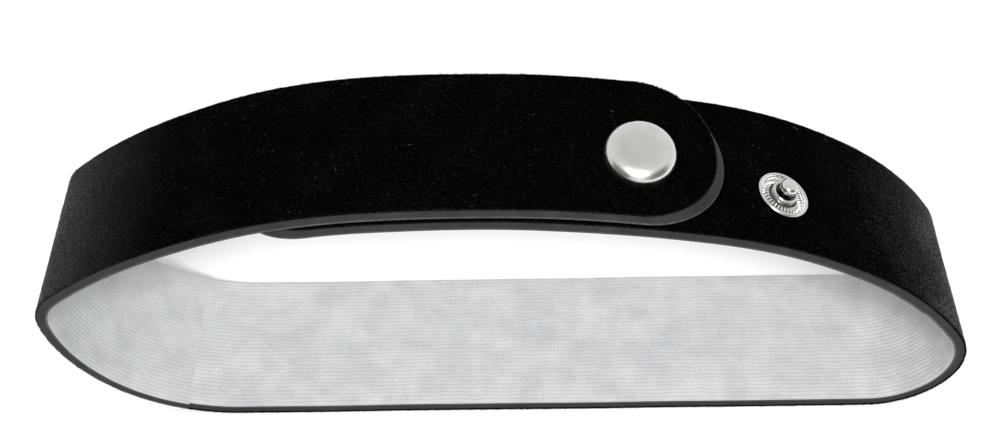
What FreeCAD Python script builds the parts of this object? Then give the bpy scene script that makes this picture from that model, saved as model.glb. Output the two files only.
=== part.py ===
import FreeCAD, Part
import math
import os
import Sketcher
from FreeCAD import Placement, Rotation, Vector

# Snap-closed anti-static wrist strap: one laminated velvet band, lapped on top and closed by a
# press stud.  Millimetres.  The loop's axis lies along Y and it rests on its back run at Z = 0.
# "u" below is the height above the underlap's outer face, measured along a press stud's axis.

doc = FreeCAD.newDocument("wrist_strap")

DIMENSIONS = {
    # band laminate
    "strap_width": 20.0,
    "face_thick": 0.2,
    "core_thick": 0.95,
    "lining_thick": 0.3,
    "backing_setback": 0.25,
    "joint_gap": 0.3,
    "leaf_gap": 0.55,
    # outer face of the loop: radii of its tangent arcs, from the left side over the top
    "left_bend_radius": 6.7,
    "left_shoulder_radius": 48.3,
    "crown_radius": 131.0,
    "right_shoulder_radius": 58.4,
    "right_slope_radius": 43.5,
    "right_bend_radius": 10.0,
    # direction of the outer face where one arc gives way to the next, degrees above +X
    "shoulder_heading": 41.1,
    "crown_heading": 10.3,
    "right_shoulder_heading": -12.4,
    "right_slope_heading": -30.9,
    "right_bend_heading": -56.7,
    # distances along the outer face, from the left side's widest point
    "hinge_at": 10.0,
    "underlap_tip_at": 29.5,
    "closure_at": 75.2,
    "leaf_tip_at": 85.1,
    "free_stud_at": 92.4,
    "backing_butt_at": 114.2,
    # sideways places of the two press studs
    "closure_side": -1.9,
    "free_stud_side": -2.5,
    # press stud
    "flange_radius": 3.1,
    "flange_thick": 0.22,
    "flange_bore": 1.54,
    "bead_height": 0.35,
    "bead_width": 0.3,
    "flute_radius": 0.12,
    "collar_radius": 1.5,
    "collar_height": 0.8,
    "neck_radius": 0.8,
    "neck_top": 1.2,
    "head_radius": 1.05,
    "land_bottom": 1.35,
    "land_top": 1.65,
    "head_top": 2.15,
    "shank_radius": 0.9,
    "clench_thick": 0.25,
    "clench_radius": 1.7,
    "contact_radius": 3.6,
    "contact_thick": 0.3,
    # socket and cap
    "socket_radius": 2.6,
    "socket_bottom": 0.6,
    "socket_top": 1.55,
    "socket_sheet": 0.15,
    "socket_wall": 0.25,
    "socket_bore": 1.8,
    "rivet_radius": 1.45,
    "rivet_bore": 1.25,
    "rivet_bottom": 1.2,
    "rivet_clench_radius": 1.9,
    "rivet_plate_radius": 3.3,
    "rivet_plate_seat": 0.05,
    "rivet_plate_thick": 0.12,
    # heights over the leaf's outer face
    "cap_radius": 3.95,
    "cap_seat": 0.02,
    "cap_shoulder": 1.1,
    "cap_round": 1.3,
    "cap_top": 2.5,
    "cap_sheet": 0.2,
    # spring legs
    "leg_radius": 0.14,
    "leg_half_length": 1.6,
    "leg_height": 1.0,
    "leg_side": 1.03,
    "bow_radius": 2.08,
    "bow_angle": 44.0,
}
FLUTE_COUNT = 36
HOLE_PLAY = 0.05
TIP_EASE = 0.05
TIP_SPARE = 0.5
OVER = 5.0
FLUTE_DEPTH = 0.6
FLUTE_MARGIN = 0.3
FLANGE_SEAT = 0.02
PLATE_SEAT = 0.02
CLENCH_SEAT = 0.02
COLLAR_EASE = 0.15
PLATE_EASE = 0.2
POST_FLAT = 0.2
CAP_FLAT = 0.4
LEG_FLAT = 0.05
CAP_HEM = 0.15
SHORTEST = 1e-6
# bulge of an arc as a share of its chord
QUARTER = 0.2071
ROLLED = 0.2
LEG_END = 0.2071
CAP_CROWN = 0.02

sheet = doc.addObject("Spreadsheet::Sheet", "Sheet")
for row, (alias, value) in enumerate(DIMENSIONS.items(), start=1):
    sheet.set(f"A{row}", alias)
    sheet.set(f"B{row}", str(value))
    sheet.setAlias(f"B{row}", alias)
doc.recompute()


def dim(alias):
    """Value of one driving dimension, read from the sheet."""
    return float(sheet.get(alias))


# ---------------------------------------------------------------- the loop's outline

def arc_step(point, radius, start, end):
    """End point of a right-turning arc that leaves point with heading start (degrees)."""
    a, b = math.radians(start), math.radians(end)
    return Vector(
        point.x + radius * (math.sin(a) - math.sin(b)),
        0,
        point.z + radius * (math.cos(b) - math.cos(a)),
    )


def loop_arcs():
    """The loop's outer face as (radius, start heading, end heading, start point, length).

    The path starts at the left side's widest point.  The right bend turns under to a flat back
    run at Z = 0, and the left corner takes up the height that is left.  X = 0 is mid-width.
    """
    headings = [
        90.0,
        dim("shoulder_heading"),
        dim("crown_heading"),
        dim("right_shoulder_heading"),
        dim("right_slope_heading"),
        dim("right_bend_heading"),
        -180.0,
    ]
    radii = [
        dim("left_bend_radius"),
        dim("left_shoulder_radius"),
        dim("crown_radius"),
        dim("right_shoulder_radius"),
        dim("right_slope_radius"),
        dim("right_bend_radius"),
    ]
    point = Vector(0, 0, 0)
    arcs = []
    for radius, start, end in zip(radii, headings, headings[1:]):
        arcs.append((radius, start, end, point, radius * math.radians(start - end)))
        point = arc_step(point, radius, start, end)
    left_height = -point.z
    width = point.x + dim("right_bend_radius")
    run = point.x - left_height
    arcs.append((None, -180.0, -180.0, point, run))
    corner = point - Vector(run, 0, 0)
    arcs.append((left_height, -180.0, -270.0, corner, left_height * math.pi / 2))
    shift = Vector(-width / 2, 0, left_height)
    return [(radius, start, end, at + shift, length) for radius, start, end, at, length in arcs]


LOOP = loop_arcs()
PERIMETER = sum(arc[4] for arc in LOOP)


def locate(distance):
    """Point and heading on the loop's outer face at a distance along it."""
    rest = distance % PERIMETER
    for radius, start, end, point, length in LOOP:
        if rest <= length:
            if radius is None:
                return point + Vector(-rest, 0, 0), start
            heading = start - math.degrees(rest / radius)
            return arc_step(point, radius, start, heading), heading
        rest -= length
    return LOOP[0][3], 90.0


def outward(heading):
    """Unit vector out of the loop, across the given heading."""
    a = math.radians(heading)
    return Vector(-math.sin(a), 0, math.cos(a))


def loop_pieces(start, end):
    """Stretches of the loop from start to end, as (first, last, straight)."""
    pieces = []
    begin = 0.0
    for radius, _, _, _, length in LOOP + LOOP:
        first, last = max(start, begin), min(end, begin + length)
        if last - first > SHORTEST:
            pieces.append((first, last, radius is None))
        begin += length
    return pieces


def offset_point(distance, height):
    point, heading = locate(distance)
    return point + outward(heading) * height


def loop_edges(start, end, height):
    """Edges along the loop at a height over its outer face."""
    edges = []
    for first, last, straight in loop_pieces(start, end):
        a, b = offset_point(first, height), offset_point(last, height)
        if straight:
            edges.append(Part.LineSegment(a, b))
        else:
            edges.append(Part.Arc(a, offset_point((first + last) / 2, height), b))
    return edges


# The leaf leaves the loop at the hinge on one arc, tangent to the circle that it follows over
# the underlap, and from there it runs parallel to the loop.
LAMINATE = dim("face_thick") + dim("core_thick") + dim("lining_thick")
LEAF_RISE = dim("leaf_gap") + LAMINATE
THROUGH = OVER + 2 * LAMINATE
CROWN_RADIUS, _, _, CROWN_START, _ = LOOP[2]
CROWN_CENTRE = CROWN_START - outward(dim("crown_heading")) * CROWN_RADIUS


def leaf_rise_arc():
    """Centre and radius of the arc that lifts the leaf's outer face off the loop's."""
    foot, heading = locate(dim("hinge_at"))
    inward = outward(heading) * -1
    reach = foot - CROWN_CENTRE
    outer = CROWN_RADIUS + LEAF_RISE
    radius = (outer**2 - reach.dot(reach)) / (2 * (reach.dot(inward) + outer))
    return foot + inward * radius, radius


RISE_CENTRE, RISE_RADIUS = leaf_rise_arc()


def rise_point(angle, height):
    a = math.radians(angle)
    return RISE_CENTRE + Vector(math.cos(a), 0, math.sin(a)) * (RISE_RADIUS + height)


def angle_of(vector):
    return math.degrees(math.atan2(vector.z, vector.x))


RISE_END = angle_of(RISE_CENTRE - CROWN_CENTRE)
RISE_START = angle_of(locate(dim("hinge_at"))[0] - RISE_CENTRE) - math.degrees(
    dim("joint_gap") / RISE_RADIUS
)
CROWN_DROP = math.radians(90.0 + dim("crown_heading") - RISE_END)
PARALLEL_START = LOOP[0][4] + LOOP[1][4] + CROWN_RADIUS * CROWN_DROP


def rise_edge(start, height):
    """Arc at a height over the leaf's rise, from an angle to where the rise meets the crown."""
    middle = (start + RISE_END) / 2
    return Part.Arc(
        rise_point(start, height), rise_point(middle, height), rise_point(RISE_END, height)
    )


def leaf_edges(height):
    """Edges along the leaf at a height over its outer face, from hinge to tip."""
    over = loop_edges(PARALLEL_START, dim("leaf_tip_at") + TIP_SPARE, LEAF_RISE + height)
    return [rise_edge(RISE_START, height)] + over


def underlap_angle(distance):
    """Angle round the rise's centre of a place on the underlap's free end."""
    return RISE_END + math.degrees((PARALLEL_START - distance) / (RISE_RADIUS - LEAF_RISE))


def underlap_edges(end, height):
    """Edges along the underlap at a height over its outer face, from its tip to end.

    The free end bends down along with the leaf's rise and keeps the same gap under it.
    """
    tip = underlap_angle(dim("underlap_tip_at") - TIP_SPARE)
    return [rise_edge(tip, height - LEAF_RISE)] + loop_edges(PARALLEL_START, end, height)


# ---------------------------------------------------------------- modelling helpers

def origin_plane(body, role):
    return next(item for item in body.Origin.OriginFeatures if item.Role == role)


def new_body(name, placement=None):
    body = doc.addObject("PartDesign::Body", name)
    body.Label = name
    if placement is not None:
        body.Placement = placement
    return body


def new_sketch(body, name, role, offset=None):
    sketch = body.newObject("Sketcher::SketchObject", name)
    sketch.AttachmentSupport = [(origin_plane(body, role), "")]
    sketch.MapMode = "FlatFace"
    if offset is not None:
        sketch.AttachmentOffset = offset
    return sketch


def flat(vector):
    """XZ-plane sketch coordinates of a point."""
    return Vector(vector.x, vector.z, 0)


def flatten(edge):
    if isinstance(edge, Part.LineSegment):
        return Part.LineSegment(flat(edge.StartPoint), flat(edge.EndPoint))
    middle = (edge.FirstParameter + edge.LastParameter) / 2
    return Part.Arc(flat(edge.StartPoint), flat(edge.value(middle)), flat(edge.EndPoint))


def strip(name, outer, inner, setback=False):
    """Band layer between two runs of edges, extruded across the strap's width."""
    body = new_body(name)
    sketch = new_sketch(body, name + "_outline", "XZ_Plane")
    ends = [
        Part.LineSegment(outer[0].StartPoint, inner[0].StartPoint),
        Part.LineSegment(outer[-1].EndPoint, inner[-1].EndPoint),
    ]
    for edge in outer + inner + ends:
        sketch.addGeometry(flatten(edge), False)
    pad = body.newObject("PartDesign::Pad", name + "_pad")
    pad.Profile = sketch
    pad.Midplane = True
    width = "Sheet.strap_width"
    if setback:
        width += " - 2 * Sheet.backing_setback"
    pad.setExpression("Length", width)
    doc.recompute()
    return body


def standing(point, heading, side, height):
    """Frame with its Z axis square to a face of the given heading, at a height over it."""
    base = point + outward(heading) * height + Vector(0, side, 0)
    return Placement(base, Rotation(Vector(0, 1, 0), -heading))


def stud_placement(distance, side, height=0.0):
    """Frame that stands on the loop's outer face."""
    return standing(*locate(distance), side, height)


def cut_down(body, name, sketch, depth):
    """Pocket from a sketch that stands over the band layer, down through it."""
    before = body.Tip.Shape.Volume
    pocket = body.newObject("PartDesign::Pocket", name + "_cut")
    pocket.Profile = sketch
    pocket.Length = depth
    doc.recompute()
    if pocket.Shape.Volume > before - 1e-4:
        raise RuntimeError(name + " cuts nothing")


def round_tip(body, placement, sense):
    """Round the strip's end in plan; the strip runs from the tip along sense times local X."""
    name = body.Label + "_tip"
    sketch = new_sketch(body, name, "XY_Plane", placement)
    radius = dim("strap_width") / 2 + TIP_EASE
    half = radius - TIP_EASE / 5
    reach = sense * (radius - math.sqrt(radius**2 - half**2))
    beyond = -sense * 2 * TIP_SPARE
    corners = [Vector(reach, -half, 0), Vector(reach, half, 0)]
    outside = [Vector(beyond, half, 0), Vector(beyond, -half, 0)]
    sketch.addGeometry(Part.Arc(corners[0], Vector(0, 0, 0), corners[1]), False)
    sketch.addGeometry(Part.LineSegment(corners[1], outside[0]), False)
    sketch.addGeometry(Part.LineSegment(outside[0], outside[1]), False)
    sketch.addGeometry(Part.LineSegment(outside[1], corners[0]), False)
    cut_down(body, name, sketch, THROUGH)


def bore(body, name, placement, radius_expression):
    """Round hole along a stud's axis, through the band layer."""
    sketch = new_sketch(body, name, "XY_Plane", placement)
    sketch.addGeometry(Part.Circle(Vector(0, 0, 0), Vector(0, 0, 1), 1.0), False)
    sketch.addConstraint(Sketcher.Constraint("Coincident", 0, 3, -1, 1))
    radius = sketch.addConstraint(Sketcher.Constraint("Radius", 0, 1.0))
    sketch.setExpression(f"Constraints[{radius}]", radius_expression)
    cut_down(body, name, sketch, THROUGH)


def pin_corner(sketch, vertex, expressions):
    """Tie a sketch vertex's radius and height to the sheet."""
    for kind, axis, expression in zip(("DistanceX", "DistanceY"), (-2, -1), expressions):
        value = float(sketch.evalExpression(expression))
        if abs(value) < 1e-9:
            sketch.addConstraint(Sketcher.Constraint("PointOnObject", *vertex, axis))
            continue
        number = sketch.addConstraint(Sketcher.Constraint(kind, -1, 1, *vertex, value))
        sketch.setExpression(f"Constraints[{number}]", expression)


def turned(name, corners, placement):
    """Solid of revolution about its own Z axis.

    Each corner is (radius, height) in the sheet's terms, and a third item, a number, makes the
    side that follows it an arc that bulges by that share of the side's length.
    """
    body = new_body(name, placement)
    sketch = new_sketch(body, name + "_section", "XZ_Plane")
    values = [[float(sketch.evalExpression(text)) for text in corner[:2]] for corner in corners]
    points = [Vector(radius, height, 0) for radius, height in values]
    for index, point in enumerate(points):
        after = points[(index + 1) % len(points)]
        side = after - point
        if len(corners[index]) > 2:
            middle = (point + after) * 0.5 + Vector(side.y, -side.x, 0) * corners[index][2]
            sketch.addGeometry(Part.Arc(point, middle, after), False)
        else:
            sketch.addGeometry(Part.LineSegment(point, after), False)
    firsts = [1 if (sketch.getPoint(i, 1) - at).Length < 1e-6 else 2 for i, at in enumerate(points)]
    for index, first in enumerate(firsts):
        after = (index + 1) % len(points)
        ends = (index, 3 - first, after, firsts[after])
        sketch.addConstraint(Sketcher.Constraint("Coincident", *ends))
    for index, first in enumerate(firsts):
        pin_corner(sketch, (index, first), corners[index][:2])
    revolution = body.newObject("PartDesign::Revolution", name + "_turn")
    revolution.Profile = sketch
    revolution.ReferenceAxis = (sketch, ["V_Axis"])
    revolution.Angle = 360.0
    doc.recompute()
    return body


# ---------------------------------------------------------------- band layers

FACE_IN = -dim("face_thick")
CORE_IN = FACE_IN - dim("core_thick")
LINING_IN = -LAMINATE
UNDERLAP_TIP = underlap_angle(dim("underlap_tip_at"))
BUTT = dim("backing_butt_at")
BAND_END = PERIMETER + dim("hinge_at")
BUTT_GAP = 0.1
CLOSURE = stud_placement(dim("closure_at"), dim("closure_side"), OVER)
FREE = stud_placement(dim("free_stud_at"), dim("free_stud_side"), OVER)


def back_layer(name, top, bottom):
    """Backing layer behind the butt joint, set back a little from the velvet's edges."""
    start = BUTT + BUTT_GAP
    return strip(name, loop_edges(start, BAND_END, top), loop_edges(start, BAND_END, bottom), True)


def underlap_layer(name, end, top, bottom):
    """Layer that starts at the underlap's rounded tip and is pierced by both studs."""
    body = strip(name, underlap_edges(end, top), underlap_edges(end, bottom))
    tip = standing(rise_point(UNDERLAP_TIP, -LEAF_RISE), UNDERLAP_TIP - 90.0, 0, OVER)
    round_tip(body, tip, 1)
    radius = f"Sheet.shank_radius + {HOLE_PLAY}"
    bore(body, name + "_closure_hole", CLOSURE, radius)
    bore(body, name + "_free_hole", FREE, radius)


underlap_layer("band_face", BAND_END, 0, FACE_IN)
underlap_layer("underlap_core", BUTT, FACE_IN, CORE_IN)
underlap_layer("underlap_lining", BUTT, CORE_IN, LINING_IN)
back_layer("band_core", FACE_IN, CORE_IN)
back_layer("band_lining", CORE_IN, LINING_IN)


def leaf_layer(name, top, bottom, hole):
    body = strip(name, leaf_edges(top), leaf_edges(bottom))
    round_tip(body, stud_placement(dim("leaf_tip_at"), 0, OVER), -1)
    bore(body, name + "_hole", CLOSURE, hole)


leaf_layer("leaf_face", 0, FACE_IN, f"Sheet.rivet_radius + {HOLE_PLAY}")
leaf_layer("leaf_core", FACE_IN, CORE_IN, f"Sheet.socket_radius + {HOLE_PLAY}")
leaf_layer("leaf_lining", CORE_IN, LINING_IN, f"Sheet.socket_radius + {HOLE_PLAY}")

# ---------------------------------------------------------------- press studs


def sagitta(radius, distance):
    """Fall of the loop's inner face from flat, at a radius round a stud."""
    for arc_radius, _, _, _, length in LOOP:
        if distance <= length:
            return radius**2 / (2 * (arc_radius - LAMINATE))
        distance -= length
    return 0.0


def stud_flange(name, place):
    """Flange pressed from sheet, with a rolled rim and a ring of radial flutes."""
    inner, outer = "Sheet.flange_bore", "Sheet.flange_radius"
    bead = "Sheet.flange_radius - Sheet.bead_width"
    top = f"{FLANGE_SEAT} + Sheet.flange_thick"
    rim = "Sheet.bead_height"
    corners = [
        (inner, str(FLANGE_SEAT)),
        (outer, str(FLANGE_SEAT)),
        (outer, rim, ROLLED),
        (bead, rim),
        (bead, top),
        (inner, top),
    ]
    body = turned(name, corners, place)
    middle = (dim("flange_bore") + dim("flange_radius") - dim("bead_width")) / 2
    sketch = new_sketch(body, name + "_flute", "YZ_Plane", Placement(Vector(0, 0, middle), Rotation()))
    height = FLANGE_SEAT + dim("flange_thick") + dim("flute_radius") * (1 - FLUTE_DEPTH)
    sketch.addGeometry(Part.Circle(Vector(0, height, 0), Vector(0, 0, 1), dim("flute_radius")), False)
    sketch.addConstraint(Sketcher.Constraint("PointOnObject", 0, 3, -2))
    number = sketch.addConstraint(Sketcher.Constraint("Radius", 0, dim("flute_radius")))
    sketch.setExpression(f"Constraints[{number}]", "Sheet.flute_radius")
    cut = body.newObject("PartDesign::Pocket", name + "_flute_cut")
    cut.Profile = sketch
    cut.Midplane = True
    cut.setExpression("Length", f"{bead} - {inner} - {FLUTE_MARGIN}")
    doc.recompute()
    pattern = body.newObject("PartDesign::PolarPattern", name + "_flutes")
    pattern.Originals = [cut]
    pattern.Axis = (origin_plane(body, "Z_Axis"), [""])
    pattern.Angle = 360.0
    pattern.Occurrences = FLUTE_COUNT
    body.Tip = pattern
    doc.recompute()


def press_stud(prefix, distance, side):
    """One stud: fluted flange, ball-headed post and the contact plate that it is riveted to."""
    place = stud_placement(distance, side)
    stud_flange(prefix + "_stud_flange", place)

    plate_top = -LAMINATE - sagitta(dim("contact_radius"), distance) - PLATE_SEAT
    low = f"{plate_top:.4f} - Sheet.contact_thick"
    clench = f"{low} - Sheet.clench_thick"
    edge = f"Sheet.collar_radius - {COLLAR_EASE}"
    shoulder = f"Sheet.collar_height - {COLLAR_EASE}"
    post = [
        ("0", clench),
        ("Sheet.clench_radius", clench, ROLLED),
        ("Sheet.clench_radius", low),
        ("Sheet.shank_radius", low),
        ("Sheet.shank_radius", str(FLANGE_SEAT)),
        ("Sheet.collar_radius", str(FLANGE_SEAT)),
        ("Sheet.collar_radius", shoulder, QUARTER),
        (edge, "Sheet.collar_height"),
        ("Sheet.neck_radius", "Sheet.collar_height"),
        ("Sheet.neck_radius", "Sheet.neck_top"),
        ("Sheet.head_radius", "Sheet.land_bottom"),
        ("Sheet.head_radius", "Sheet.land_top", QUARTER),
        (str(POST_FLAT), "Sheet.head_top"),
        ("0", "Sheet.head_top"),
    ]
    turned(prefix + "_stud_post", post, place)

    hole = f"Sheet.shank_radius + {HOLE_PLAY}"
    plate = [
        (hole, low),
        (f"Sheet.contact_radius - {PLATE_EASE}", low, QUARTER),
        ("Sheet.contact_radius", f"{low} + {PLATE_EASE}"),
        ("Sheet.contact_radius", f"{plate_top:.4f}"),
        (hole, f"{plate_top:.4f}"),
    ]
    turned(prefix + "_contact_plate", plate, place)


press_stud("closure", dim("closure_at"), dim("closure_side"))
press_stud("free", dim("free_stud_at"), dim("free_stud_side"))

# ---------------------------------------------------------------- socket, rivet and cap

SNAP = stud_placement(dim("closure_at"), dim("closure_side"))
LEAF_TOP = f"{LEAF_RISE:.4f}"


def socket():
    """Female half of the press stud: a drawn cup that houses the spring legs."""
    bore_edge, outer = "Sheet.socket_bore", "Sheet.socket_radius"
    wall = "Sheet.socket_radius - Sheet.socket_wall"
    throat = f"Sheet.rivet_radius + {HOLE_PLAY}"
    low, high = "Sheet.socket_bottom", "Sheet.socket_top"
    floor, roof = f"{low} + Sheet.socket_sheet", f"{high} - Sheet.socket_sheet"
    corners = [
        (bore_edge, low),
        (outer, low),
        (outer, high),
        (throat, high),
        (throat, roof),
        (wall, roof),
        (wall, floor),
        (bore_edge, floor),
    ]
    turned("socket", corners, SNAP)


def cap_rivet():
    """Eyelet that grips the leaf: a plate under the cap and a barrel clenched in the socket."""
    plate_low = f"{LEAF_TOP} + Sheet.rivet_plate_seat"
    plate_high = f"{plate_low} + Sheet.rivet_plate_thick"
    clench_top = f"Sheet.socket_top - Sheet.socket_sheet - {CLENCH_SEAT}"
    corners = [
        ("Sheet.rivet_bore", "Sheet.rivet_bottom"),
        ("Sheet.rivet_clench_radius", "Sheet.rivet_bottom"),
        ("Sheet.rivet_clench_radius", clench_top),
        ("Sheet.rivet_radius", clench_top),
        ("Sheet.rivet_radius", plate_low),
        ("Sheet.rivet_plate_radius", plate_low),
        ("Sheet.rivet_plate_radius", plate_high),
        ("Sheet.rivet_bore", plate_high),
    ]
    turned("cap_rivet", corners, SNAP)


def snap_cap():
    """Low cap drawn from sheet, with a broad rounded shoulder, open underneath."""
    low = f"{LEAF_TOP} + Sheet.cap_seat"
    shoulder = f"{LEAF_TOP} + Sheet.cap_shoulder"
    brow = f"{shoulder} + Sheet.cap_round"
    top = f"{LEAF_TOP} + Sheet.cap_top"
    inside = "Sheet.cap_radius - 1.5 * Sheet.cap_sheet"
    corners = [
        ("0", top),
        (str(CAP_FLAT), top, -CAP_CROWN),
        ("Sheet.cap_radius - Sheet.cap_round", brow, -QUARTER),
        ("Sheet.cap_radius", shoulder),
        ("Sheet.cap_radius", f"{low} + {CAP_HEM}", -QUARTER),
        (f"Sheet.cap_radius - {CAP_HEM}", low),
        (inside, low),
        (inside, shoulder, QUARTER),
        (f"{inside} - Sheet.cap_round + Sheet.cap_sheet", f"{brow} - Sheet.cap_sheet", CAP_CROWN),
        (str(CAP_FLAT), f"{top} - Sheet.cap_sheet"),
        ("0", f"{top} - Sheet.cap_sheet"),
    ]
    turned("snap_cap", corners, SNAP)


def spring_leg(name, side):
    """Straight leg of the socket's retaining spring, beside the stud's neck."""
    reach = "(Sheet.leg_half_length - Sheet.leg_radius)"
    corners = [
        ("0", "-Sheet.leg_half_length"),
        (str(LEG_FLAT), "-Sheet.leg_half_length", LEG_END),
        ("Sheet.leg_radius", f"-{reach}"),
        ("Sheet.leg_radius", reach, LEG_END),
        (str(LEG_FLAT), "Sheet.leg_half_length"),
        ("0", "Sheet.leg_half_length"),
    ]
    along_x = Rotation(Vector(0, 1, 0), 90)
    seat = Placement(Vector(0, side * dim("leg_side"), dim("leg_height")), along_x)
    turned(name, corners, SNAP.multiply(seat))


def spring_bow(name, turn):
    """Bow that joins the spring's legs, bedded against the socket's wall."""
    seat = Placement(Vector(0, 0, dim("leg_height")), Rotation(Vector(0, 0, 1), turn))
    body = new_body(name, SNAP.multiply(seat))
    sketch = new_sketch(body, name + "_wire", "XZ_Plane")
    centre = Vector(dim("bow_radius"), 0, 0)
    sketch.addGeometry(Part.Circle(centre, Vector(0, 0, 1), dim("leg_radius")), False)
    sketch.addConstraint(Sketcher.Constraint("PointOnObject", 0, 3, -1))
    out = sketch.addConstraint(Sketcher.Constraint("DistanceX", -1, 1, 0, 3, dim("bow_radius")))
    sketch.setExpression(f"Constraints[{out}]", "Sheet.bow_radius")
    wire = sketch.addConstraint(Sketcher.Constraint("Radius", 0, dim("leg_radius")))
    sketch.setExpression(f"Constraints[{wire}]", "Sheet.leg_radius")
    sweep = body.newObject("PartDesign::Revolution", name + "_turn")
    sweep.Profile = sketch
    sweep.ReferenceAxis = (sketch, ["V_Axis"])
    sweep.Midplane = True
    sweep.setExpression("Angle", "Sheet.bow_angle")
    doc.recompute()


socket()
cap_rivet()
snap_cap()
spring_leg("spring_leg_front", -1)
spring_leg("spring_leg_back", 1)
spring_bow("spring_bow_left", 180)
spring_bow("spring_bow_right", 0)

# ---------------------------------------------------------------- checks and export

doc.recompute()
bodies = [item for item in doc.Objects if item.TypeId == "PartDesign::Body"]
for item in doc.Objects:
    if "Invalid" in item.State or "Error" in item.State:
        raise RuntimeError(f"{item.Label} failed: {item.State}")
for body in bodies:
    if body.Shape.isNull() or not body.Shape.isValid() or len(body.Shape.Solids) != 1:
        raise RuntimeError(f"{body.Label} has no single valid solid")

os.makedirs("parts", exist_ok=True)
for body in bodies:
    body.Shape.exportStep(f"parts/{body.Label}.step")
    print(f"{body.Label:18s} volume {body.Shape.Volume:9.3f}")
hinge, hinge_heading = locate(dim("hinge_at"))
print("perimeter", round(PERIMETER, 2), "hinge", hinge, round(hinge_heading, 2))
print("loop bottom", LOOP[-2][3], "run", LOOP[-2][4], "rise radius", round(RISE_RADIUS, 2))
print("leaf parallel from", round(PARALLEL_START, 2), "snap frame", SNAP)
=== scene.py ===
import bmesh
import bpy
import math
import numpy as np
from mathutils import Matrix, Vector, noise


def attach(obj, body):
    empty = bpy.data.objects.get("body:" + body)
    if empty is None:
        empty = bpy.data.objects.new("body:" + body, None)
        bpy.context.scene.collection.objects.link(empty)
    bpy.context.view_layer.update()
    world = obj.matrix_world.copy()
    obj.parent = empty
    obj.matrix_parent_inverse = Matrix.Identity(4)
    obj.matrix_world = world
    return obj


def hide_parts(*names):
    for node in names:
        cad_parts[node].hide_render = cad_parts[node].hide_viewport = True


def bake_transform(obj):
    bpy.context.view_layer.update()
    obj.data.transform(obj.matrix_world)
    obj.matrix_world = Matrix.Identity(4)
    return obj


# Looks of the snap-closed wrist strap: the velvet band with its foam core and knitted lining, the
# press studs, the cap, and the studio round them.  Lengths are millimetres until a mesh is made.

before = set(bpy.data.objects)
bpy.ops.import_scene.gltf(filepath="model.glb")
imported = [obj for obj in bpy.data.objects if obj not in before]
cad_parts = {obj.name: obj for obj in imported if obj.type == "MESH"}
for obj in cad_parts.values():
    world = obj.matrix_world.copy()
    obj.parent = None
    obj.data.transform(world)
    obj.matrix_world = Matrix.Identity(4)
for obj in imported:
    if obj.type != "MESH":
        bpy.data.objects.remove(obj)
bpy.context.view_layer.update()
MM = 0.001

# ---------------------------------------------------------------- sizes

STRAP_WIDTH = 20.0
VELVET_THICK = 0.2
FOAM_THICK = 0.95
LINING_THICK = 0.3
LAMINATE = VELVET_THICK + FOAM_THICK + LINING_THICK
LEAF_RISE = 2.0
SOCKET_HOLE, SOCKET_TOP = 2.65, 1.55
BACKING_SETBACK = 0.25
FOAM_TOP = -VELVET_THICK
LINING_TOP = FOAM_TOP - FOAM_THICK
LINING_LOW = -LAMINATE

# Outer face of the loop, from the left side's widest point over the top: the radius of each arc
# and the direction of the face where it ends, in degrees above +X.
BENDS = (
    (6.7, 41.1),
    (48.3, 10.3),
    (131.0, -12.4),
    (58.4, -30.9),
    (43.5, -56.7),
    (10.0, -180.0),
)
HINGE_AT = 10.0
UNDERLAP_TIP_AT = 29.5
CLOSURE_AT, CLOSURE_SIDE = 75.2, -1.9
LEAF_TIP_AT = 85.1
FREE_STUD_AT, FREE_STUD_SIDE = 92.4, -2.5
BUTT_AT = 114.2
BUTT_GAP = 0.1
SEAM_HEADING = 160.0
TIP_RADIUS = STRAP_WIDTH / 2

# ---------------------------------------------------------------- the loop's outline


def arc_step(point, radius, start, end):
    """End of a right-turning arc that leaves point with heading start, in degrees."""
    a, b = math.radians(start), math.radians(end)
    turn = np.array([math.sin(a) - math.sin(b), math.cos(b) - math.cos(a)])
    return point + radius * turn


def arcs_from(point, heading, bends):
    """Tangent arcs in a row, as (radius, start heading, end heading, start point, length)."""
    arcs = []
    for radius, end in bends:
        arcs.append((radius, heading, end, point, radius * math.radians(heading - end)))
        point, heading = arc_step(point, radius, heading, end), end
    return arcs, point


def loop_track():
    arcs, foot = arcs_from(np.zeros(2), 90.0, BENDS)
    left_height = -foot[1]
    width = foot[0] + BENDS[-1][0]
    run = foot[0] - left_height
    corner = foot - np.array([run, 0.0])
    arcs.append((None, -180.0, -180.0, foot, run))
    arcs.append((left_height, -180.0, -270.0, corner, left_height * math.pi / 2))
    shift = np.array([-width / 2, left_height])
    return [(radius, a, b, point + shift, length) for radius, a, b, point, length in arcs]


LOOP = loop_track()
PERIMETER = sum(arc[4] for arc in LOOP)
LEFT_HEIGHT = LOOP[-1][0]


def outward(heading):
    """Unit vectors out of the loop, across the given headings."""
    a = np.radians(heading)
    return np.stack([-np.sin(a), np.cos(a)], axis=-1)


def locate(track, distance):
    """Points and headings on a track's outer face at distances along it.

    The first and last arcs also take the distances before and after the track.
    """
    distance = np.atleast_1d(np.asarray(distance, float))
    points, headings = np.zeros((len(distance), 2)), np.zeros(len(distance))
    begin = 0.0
    for index, (radius, start, _, point, length) in enumerate(track):
        first, last = index == 0, index == len(track) - 1
        here = (first | (distance >= begin)) & (last | (distance < begin + length))
        rest = distance[here] - begin
        if radius is None:
            points[here] = point + np.outer(rest, [-1.0, 0.0])
            headings[here] = start
        else:
            a = math.radians(start)
            b = a - rest / radius
            turn = np.stack([math.sin(a) - np.sin(b), np.cos(b) - math.cos(a)], axis=-1)
            points[here] = point + radius * turn
            headings[here] = np.degrees(b)
        begin += length
    return points, headings


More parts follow.
